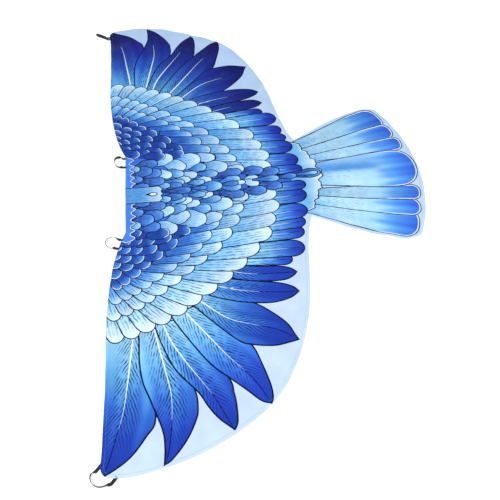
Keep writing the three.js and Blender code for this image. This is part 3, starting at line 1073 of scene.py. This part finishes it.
def cut_lines():
    reach = HALF_SPAN + 60
    lines = [[(x, TAIL_CUT), (x, reach)] for x in (-WING_CUT, -PANEL_CUT, PANEL_CUT, WING_CUT)]
    lines.append([(-reach, TAIL_CUT), (reach, TAIL_CUT)])
    return lines


def arrange(feathers):
    """One flat net of triangles that follows every printed edge, and each triangle's top feather."""
    points, edges, faces = [], [], []

    def outline(shape):
        base = len(points)
        points.extend(Vector(p) for p in shape[::-1])
        faces.append(list(range(base, base + len(shape))))

    outline(OUTLINE)
    rings = [moved_in(OUTLINE, d) for d in HEM_RINGS]
    for feather in feathers:
        outline(feather.edge)
    shapes = len(faces)
    for ring in rings:
        outline(ring)
    for feather in feathers:
        kind = KINDS[feather.kind]
        band = kind.get("line", 0) + kind.get("rim", 0) + 0.9
        if band > 1:
            outline(moved_in(feather.edge, band))
    for line in cut_lines():
        base = len(points)
        points.extend(Vector(p) for p in line)
        edges.append((base, base + 1))
    points.extend(Vector(p) for p in ground_points())
    net = delaunay_2d_cdt(points, edges, faces, 0, 1e-4, True)
    places = np.array([tuple(p) for p in net[0]])
    triangles, tops = [], []
    for triangle, origins in zip(net[2], net[5]):
        if 0 in origins:
            triangles.append(triangle)
            tops.append(max([o for o in origins if o < shapes]))
    return places, np.array(triangles), np.array(tops) - 1


def dye_along(dyes, along, painted_shade_share):
    """Dye at distances along a feather, between the left wing's colours and the right wing's. The left
    wing's lighter colours are painted light and sheen, the right wing's deeper ones painted shade.
    """
    reach = [dye[0] for dye in dyes]
    left, right = (np.array([linear(dye[side]) for dye in dyes]) for side in (1, 2))
    left, right = (
        np.stack([np.interp(along, reach, wing[:, i]) for i in range(3)], 1) for wing in (left, right))
    return left + (right - left) * painted_shade_share[:, None]


class Sheet:
    """The whole printed sheet as one net: places, triangles and what each corner carries."""

    def __init__(self):
        self.feathers = whole_print()
        self.places, self.triangles, self.tops = arrange(self.feathers)
        inside = distance_to(self.places, OUTLINE)
        self.inside = inside
        self.low = lie(self.places, inside)
        self.high = self.low + thickness(inside)
        self.print_feathers()
        self.bend_normals()

    def print_feathers(self):
        count = len(self.triangles)
        self.dye = np.zeros((count, 3, 3))
        self.barb_dye = np.zeros((count, 3, 3))
        self.plume = np.zeros((count, 3, 3))
        self.ink_lines = np.zeros((count, 3, 3))
        self.barb = np.zeros((count, 3, 3))
        for index in np.unique(self.tops):
            rows = np.nonzero(self.tops == index)[0]
            corners = self.places[self.triangles[rows]].reshape(-1, 2)
            feather = self.feathers[index] if index >= 0 else None
            kind = KINDS[feather.kind if feather else "margin"]
            if feather:
                along, across, edge = feather.places(corners)
            else:
                along = across = np.zeros(len(corners))
                edge = np.full(len(corners), 20.0)
            # How far a corner lies towards the right wing: the colours are painted darker that way as
            # painted shade, and lighter towards the left wing as painted light and sheen.
            painted_shade_share = smooth(corners[:, 0], *PAINTED_SHADE_SPAN)
            streaks = np.sin(across / 3.4 + index) + 1.2 * np.sin(across / 7.3 - index)
            reach = STREAK_REACH * kind["dye"][-1][0]
            dye = dye_along(kind["dye"], along + reach * streaks, painted_shade_share)
            dye = dye * (0.88 + 0.24 * (index * GOLDEN % 1))
            if "right_half" in kind:
                share = smooth(across, -6, 10) * (1 - 0.6 * smooth(across, 12, 45)) * smooth(along, 40, 110)
                dye += (linear(kind["right_half"]) - dye) * share[:, None]
            pitch, sweep, strength, start, full = kind["hair"]
            lengthways = (0, 1 / pitch) if sweep is None else (1 / pitch, sweep / pitch)
            strength = strength * smooth(along, start, full)
            if sweep:
                strength = strength * (1 - smooth(np.abs(across), 8, 40))
            shape = (len(rows), 3, 3)
            self.dye[rows] = dye.reshape(shape)
            self.barb_dye[rows] = linear(kind["barbs"])
            self.plume[rows] = np.stack([along, across, edge], 1).reshape(shape)
            rim_end = kind.get("rim_reach", BEYOND)
            rim = kind.get("rim", 0) * (1 - smooth(along, rim_end - 2, rim_end + 3))
            line = np.full(len(along), float(kind.get("line", 0)))
            quill = np.full(len(along), float(kind.get("quill", BEYOND)))
            self.ink_lines[rows] = np.stack([line, rim, quill], 1).reshape(shape)
            self.barb[rows, :, :2] = lengthways
            self.barb[rows, :, 2] = strength.reshape(-1, 3)

    def bend_normals(self):
        """Smooth normals of the upper side over the whole sheet, so that no cut shows."""
        tops = np.column_stack([self.places, self.high])
        a, b, c = (tops[self.triangles[:, i]] for i in range(3))
        face = np.cross(b - a, c - a)
        normal = np.zeros((len(tops), 3))
        for i in range(3):
            np.add.at(normal, self.triangles[:, i], face)
        length = np.linalg.norm(normal, axis=1)
        length[length == 0] = 1
        self.normal = normal / length[:, None]


SHEET = Sheet()


def inside_piece(middle, low_x, high_x, tail):
    x, y = middle[:, 0], middle[:, 1]
    if tail:
        return y < TAIL_CUT
    return (y > TAIL_CUT) & (x > low_x) & (x < high_x)


def make_cloth(name, low_x, high_x, tail=False):
    """One piece of the sheet as a closed shell: printed face, reverse, hem edge and cut edges."""
    middles = SHEET.places[SHEET.triangles].mean(1)
    rows = np.nonzero(inside_piece(middles, low_x, high_x, tail))[0]
    triangles = SHEET.triangles[rows]
    used, local = np.unique(triangles, return_inverse=True)
    local = local.reshape(-1, 3)
    count = len(used)
    flat = SHEET.places[used]
    upper = np.column_stack([flat, SHEET.high[used]])
    lower = np.column_stack([flat, SHEET.low[used]])
    sides = {}
    for triangle in local:
        for a, b in zip(triangle, np.roll(triangle, -1)):
            sides[(a, b)] = sides.get((a, b), 0) + 1
    rim = [(a, b) for a, b in sides if (b, a) not in sides]
    walls = [(b, a, a + count, b + count) for a, b in rim]
    faces = [tuple(t) for t in local] + [tuple(t[::-1] + count) for t in local] + walls
    piece = new_piece(name, np.vstack([upper, lower]) * MM, faces, SATIN)
    carry(piece, rows, used, len(local), count, walls)
    return piece


def carry(piece, rows, used, sheets, count, walls):
    """Gives the piece's corners their print, flat places and normals."""
    mesh = piece.data
    wall_corners = 4 * len(walls)

    def corners(values, width):
        upper = values[rows].reshape(-1, width)
        lower = values[rows][:, ::-1].reshape(-1, width)
        return np.vstack([upper, lower])

    def fill(name, values, kind):
        layer = mesh.attributes.new(name, kind, "CORNER")
        tail = np.tile(values[:1], (wall_corners, 1))
        key = "color" if kind == "FLOAT_COLOR" else "vector"
        layer.data.foreach_set(key, np.vstack([values, tail]).astype(np.float32).ravel())

    def coloured(values):
        rgb = corners(values, 3)
        return np.column_stack([rgb, np.ones(len(rgb))])

    # The dye carries the print with painted light and sheen on the left wing and painted shade on the right.
    fill("dye", coloured(SHEET.dye), "FLOAT_COLOR")
    fill("barb_dye", coloured(SHEET.barb_dye), "FLOAT_COLOR")
    fill("plume", corners(SHEET.plume, 3), "FLOAT_VECTOR")
    fill("ink", corners(SHEET.ink_lines, 3), "FLOAT_VECTOR")
    fill("barb", corners(SHEET.barb, 3), "FLOAT_VECTOR")
    corner_vertex = np.zeros(len(mesh.loops), np.int32)
    mesh.loops.foreach_get("vertex_index", corner_vertex)
    under = corner_vertex >= count
    source = used[corner_vertex % count]
    reverse = under * smooth(SHEET.inside[source], HEM - 0.3, HEM)
    layer = mesh.attributes.new("reverse", "FLOAT", "CORNER")
    layer.data.foreach_set("value", reverse.astype(np.float32))
    flat = SHEET.places[source] * MM
    uv = mesh.uv_layers.new(name="flat_cloth")
    uv.data.foreach_set("uv", flat.astype(np.float32).ravel())
    normals = SHEET.normal[source] * np.where(under, -1.0, 1.0)[:, None]
    normals[6 * sheets:] = 0
    mesh.normals_split_custom_set([tuple(n) for n in normals])


CLOTH_PIECES = [
    ("cloth_back", -PANEL_CUT, PANEL_CUT, False),
    ("cloth_left_inner_wing", -WING_CUT, -PANEL_CUT, False),
    ("cloth_right_inner_wing", PANEL_CUT, WING_CUT, False),
    ("cloth_left_outer_wing", -HALF_SPAN - 60, -WING_CUT, False),
    ("cloth_right_outer_wing", WING_CUT, HALF_SPAN + 60, False),
    ("cloth_tail", 0, 0, True),
]
cloth = {name: make_cloth(name, a, b, tail) for name, a, b, tail in CLOTH_PIECES}


def follow_folds(piece, name):
    """Attaches a piece of the back to the back's body, and bakes any other piece's place into its mesh."""
    if name == "cloth_back":
        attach(piece, "back")
    elif name == "cloth_tail":
        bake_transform(piece)
    else:
        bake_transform(piece)


# ---------------------------------------------------------------- hem stitching

STITCH_PITCH = 3.2
STITCH_LENGTH = 2.5
THREAD = 0.32
STITCH_SIDES = 6
STITCH_STANDS = 0.04
STITCH_SINKS = 0.02
STITCH_RINGS = ((-0.5, 0.0), (-0.36, 0.9), (0.36, 0.9), (0.5, 0.0))  # share of length, of radius


def stitch_ends():
    """The first and last point of each stitch, evenly round the hem."""
    line = moved_in(OUTLINE, STITCH_IN)
    line = np.vstack([line, line[:1]])
    passed = np.concatenate([[0], np.cumsum(np.linalg.norm(np.diff(line, axis=0), axis=1))])
    count = round(passed[-1] / STITCH_PITCH)
    places = (np.arange(count) + 0.5) * passed[-1] / count

    def at(along):
        return np.stack([np.interp(along, passed, line[:, i]) for i in range(2)], 1)

    return at(places - STITCH_LENGTH / 2), at(places + STITCH_LENGTH / 2)


def make_stitching(name, low_x, high_x, tail):
    """The row of stitches on the printed side of one piece's hem, and the row under it."""
    first, last = stitch_ends()
    kept = inside_piece((first + last) / 2, low_x, high_x, tail)
    first, last = first[kept], last[kept]
    inside = np.full(len(first), STITCH_IN)
    turns = np.arange(STITCH_SIDES) * 2 * math.pi / STITCH_SIDES
    vertices = []
    faces = []
    for under in (False, True):
        ends = []
        for points in (first, last):
            height = lie(points, inside)
            height = height - STITCH_SINKS if under else height + thickness(inside) + STITCH_STANDS
            ends.append(np.column_stack([points, height]))
        for a, b in zip(*ends):
            run = b - a
            side = np.array([-run[1], run[0], 0.0]) / np.linalg.norm(run[:2])
            base = len(vertices)
            for share, radius in STITCH_RINGS:
                middle = (a + b) / 2 + run * share
                if not radius:
                    vertices.append(middle)
                    continue
                for turn in turns:
                    out = side * math.cos(turn) + np.array([0, 0, math.sin(turn)])
                    vertices.append(middle + out * radius * THREAD / 2)
            for k in range(STITCH_SIDES):
                near, far = base + 1 + k, base + 1 + (k + 1) % STITCH_SIDES
                faces.append((base, near, far))
                faces.append((near, near + STITCH_SIDES, far + STITCH_SIDES, far))
                faces.append((far + STITCH_SIDES, near + STITCH_SIDES, base + 1 + 2 * STITCH_SIDES))
    return new_piece(name, np.array(vertices) * MM, faces, HEM_THREAD)


STANDS_FOR = {
    "cloth_back": ["back_panel", "neck_hem", "left_back_hem", "right_back_hem"],
    "cloth_tail": ["tail_panel", "left_tail_hem", "right_tail_hem", "tail_end_hem"],
}
for wing in ("left_inner", "right_inner", "left_outer", "right_outer"):
    STANDS_FOR[f"cloth_{wing}_wing"] = [
        f"{wing}_wing_panel", f"{wing}_leading_hem", f"{wing}_trailing_hem",
    ]


def declare_cloth():
    for name, low_x, high_x, tail in CLOTH_PIECES:
        piece = cloth[name]
        stitching = make_stitching(name.replace("cloth", "stitching"), low_x, high_x, tail)
        follow_folds(piece, name)
        follow_folds(stitching, name)
        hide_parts(*STANDS_FOR[name])


declare_cloth()


# ---------------------------------------------------------------- bar tacks

def cloth_height(x, y):
    """Height of the printed face at a place near the hem."""
    point = np.array([[x, y]])
    inside = distance_to(point, OUTLINE)
    return float((lie(point, inside) + thickness(inside))[0])


TACK_PASSES = 9
TACK_WIDTH = 1.6


def make_tack(loop, index):
    """A bar of zigzag thread that holds a tape end in the hem."""
    _, along, out = loop_frame(loop)
    end = np.array([*loop["ends"][index], 0.0])
    centre = end - out * END_INSIDE / 2
    spots = []
    for i in range(2 * TACK_PASSES + 1):
        across = (i / TACK_PASSES - 1) * (TAPE_WIDTH / 2 + 0.2)
        step = (1 if i % 2 else -1) * TACK_WIDTH / 2
        spot = centre + along * across + out * step
        height = cloth_height(spot[0], spot[1]) + THREAD * 0.35
        spots.append((spot[0] * MM, spot[1] * MM, height * MM))
    line = bpy.data.curves.new("tack", "CURVE")
    line.dimensions = "3D"
    line.bevel_depth = THREAD / 2 * MM
    line.bevel_resolution = 2
    line.use_fill_caps = True
    spline = line.splines.new("POLY")
    spline.points.add(len(spots) - 1)
    for point, spot in zip(spline.points, spots):
        point.co = (*spot, 1)
    name = f"{loop['name']}_tack_{index + 1}"
    maker = bpy.data.objects.new(name + "_curve", line)
    bpy.context.scene.collection.objects.link(maker)
    mesh = bpy.data.meshes.new_from_object(maker.evaluated_get(bpy.context.evaluated_depsgraph_get()))
    bpy.data.objects.remove(maker)
    mesh.materials.clear()
    mesh.materials.append(TACK_THREAD)
    tack = bpy.data.objects.new("thread_" + name, mesh)
    bpy.context.scene.collection.objects.link(tack)
    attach(tack, loop["body"])
    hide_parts(name)


for loop in LOOPS:
    for index in range(2):
        make_tack(loop, index)


# ---------------------------------------------------------------- studio

FLOOR_REACH = 60
FLOOR_HEIGHT = -0.0006  # just under the lowest stitch


def studio():
    scene = bpy.context.scene
    scene.view_settings.view_transform = "Standard"
    world = bpy.data.worlds.new("soft_white_room")
    world.use_nodes = True
    background = world.node_tree.nodes["Background"]
    background.inputs["Color"].default_value = (1, 1, 1, 1)
    background.inputs["Strength"].default_value = 0.62
    scene.world = world
    material, tree = new_material("white_sweep")
    shader = add(tree, "BsdfPrincipled", Base_Color=(0.95, 0.95, 0.95, 1), Roughness=0.9)
    shader.inputs["Emission Color"].default_value = (1, 1, 1, 1)
    shader.inputs["Emission Strength"].default_value = 0.35
    output = add(tree, "OutputMaterial")
    tree.links.new(shader.outputs[0], output.inputs["Surface"])
    corners = [(-1, -1), (1, -1), (1, 1), (-1, 1)]
    places = [(x * FLOOR_REACH, y * FLOOR_REACH, FLOOR_HEIGHT) for x, y in corners]
    new_piece("floor", places, [(0, 1, 2, 3)], material, False)
    softbox("key_light", (-1.7, 1.1, 2.3), (0, 0, 0), 1.3, 36)
    softbox("fill_light", (-0.9, -1.8, 2.4), (0.2, 0, 0), 2.2, 19)


def softbox(name, place, aim, size, power):
    data = bpy.data.lights.new(name, "AREA")
    data.shape = "SQUARE"
    data.size = size
    data.energy = power
    light = bpy.data.objects.new(name, data)
    bpy.context.scene.collection.objects.link(light)
    light.location = place
    light.rotation_euler = (Vector(aim) - Vector(place)).to_track_quat("-Z", "Y").to_euler()


studio()
